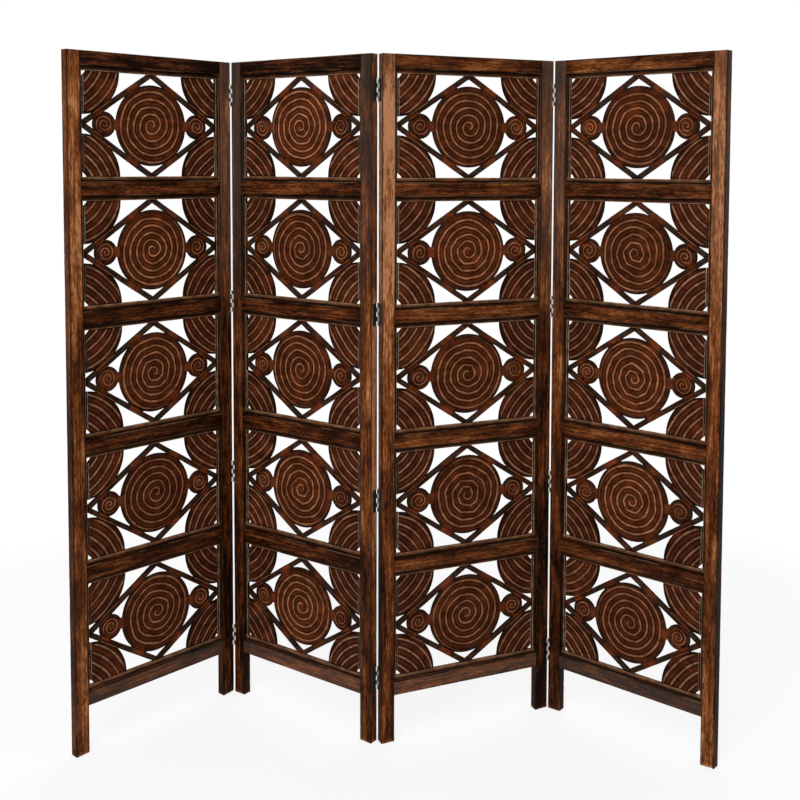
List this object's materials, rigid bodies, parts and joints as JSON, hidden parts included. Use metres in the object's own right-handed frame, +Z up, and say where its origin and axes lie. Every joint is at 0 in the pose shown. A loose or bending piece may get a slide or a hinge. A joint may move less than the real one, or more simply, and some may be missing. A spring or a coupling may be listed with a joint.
{
  "type": "folding screen",
  "caption": "Free-standing folding room screen: hinged wooden frames in a zigzag, each holding carved openwork boards with spiral discs, straps and corner fans.",
  "frame": {"origin": "on the floor under the middle of the standing screen's outline", "axes": "+Z up, the screen's carved front faces -Y, +X runs from the first panel to the fourth"},
  "size_m": [1.6758, 0.4363, 1.829],
  "materials": {
    "frame_wood": "dark mottled brown stain, satin",
    "carved_wood": "dark red brown stain with rubbed crests",
    "hinge_steel": "black, semi-gloss",
    "screw_steel": "black, semi-gloss"
  },
  "bodies": {
    "panel_1": {"panel_1_left_stile": "frame_wood", "panel_1_right_stile": "frame_wood", "panel_1_bottom_rail": "frame_wood", "panel_1_middle_rails": "frame_wood", "panel_1_top_rail": "frame_wood", "panel_1_carved_board_1": "carved_wood", "panel_1_carved_board_2": "carved_wood", "panel_1_carved_board_3": "carved_wood", "panel_1_carved_board_4": "carved_wood", "panel_1_carved_board_5": "carved_wood", "panel_1_right_hinge_leaves": "hinge_steel", "panel_1_hinge_screws": "screw_steel"},
    "panel_2": {"panel_2_left_stile": "frame_wood", "panel_2_right_stile": "frame_wood", "panel_2_bottom_rail": "frame_wood", "panel_2_middle_rails": "frame_wood", "panel_2_top_rail": "frame_wood", "panel_2_carved_board_1": "carved_wood", "panel_2_carved_board_2": "carved_wood", "panel_2_carved_board_3": "carved_wood", "panel_2_carved_board_4": "carved_wood", "panel_2_carved_board_5": "carved_wood", "panel_2_left_hinge_leaves": "hinge_steel", "panel_2_right_hinge_leaves": "hinge_steel", "panel_2_hinge_screws": "screw_steel", "hinge_pins_1_2": "hinge_steel"},
    "panel_3": {"panel_3_left_stile": "frame_wood", "panel_3_right_stile": "frame_wood", "panel_3_bottom_rail": "frame_wood", "panel_3_middle_rails": "frame_wood", "panel_3_top_rail": "frame_wood", "panel_3_carved_board_1": "carved_wood", "panel_3_carved_board_2": "carved_wood", "panel_3_carved_board_3": "carved_wood", "panel_3_carved_board_4": "carved_wood", "panel_3_carved_board_5": "carved_wood", "panel_3_left_hinge_leaves": "hinge_steel", "panel_3_right_hinge_leaves": "hinge_steel", "panel_3_hinge_screws": "screw_steel", "hinge_pins_2_3": "hinge_steel"},
    "panel_4": {"panel_4_left_stile": "frame_wood", "panel_4_right_stile": "frame_wood", "panel_4_bottom_rail": "frame_wood", "panel_4_middle_rails": "frame_wood", "panel_4_top_rail": "frame_wood", "panel_4_carved_board_1": "carved_wood", "panel_4_carved_board_2": "carved_wood", "panel_4_carved_board_3": "carved_wood", "panel_4_carved_board_4": "carved_wood", "panel_4_carved_board_5": "carved_wood", "panel_4_left_hinge_leaves": "hinge_steel", "panel_4_hinge_screws": "screw_steel", "hinge_pins_3_4": "hinge_steel"}
  },
  "joints": [
    {"name": "hinge_1_2", "type": "hinge", "parent": "panel_2", "child": "panel_1", "pos_m": [-0.47465, 0.19744, 0], "axis": [0, 0, 1], "range_deg": [-83, 97]},
    {"name": "hinge_2_3", "type": "hinge", "parent": "panel_2", "child": "panel_3", "pos_m": [-0.04421, -0.07605, 0], "axis": [0, 0, 1], "range_deg": [-59.8, 120.2]},
    {"name": "hinge_3_4", "type": "hinge", "parent": "panel_3", "child": "panel_4", "pos_m": [0.4318, 0.10697, 0], "axis": [0, 0, -1], "range_deg": [-64.2, 115.8]}
  ]
}
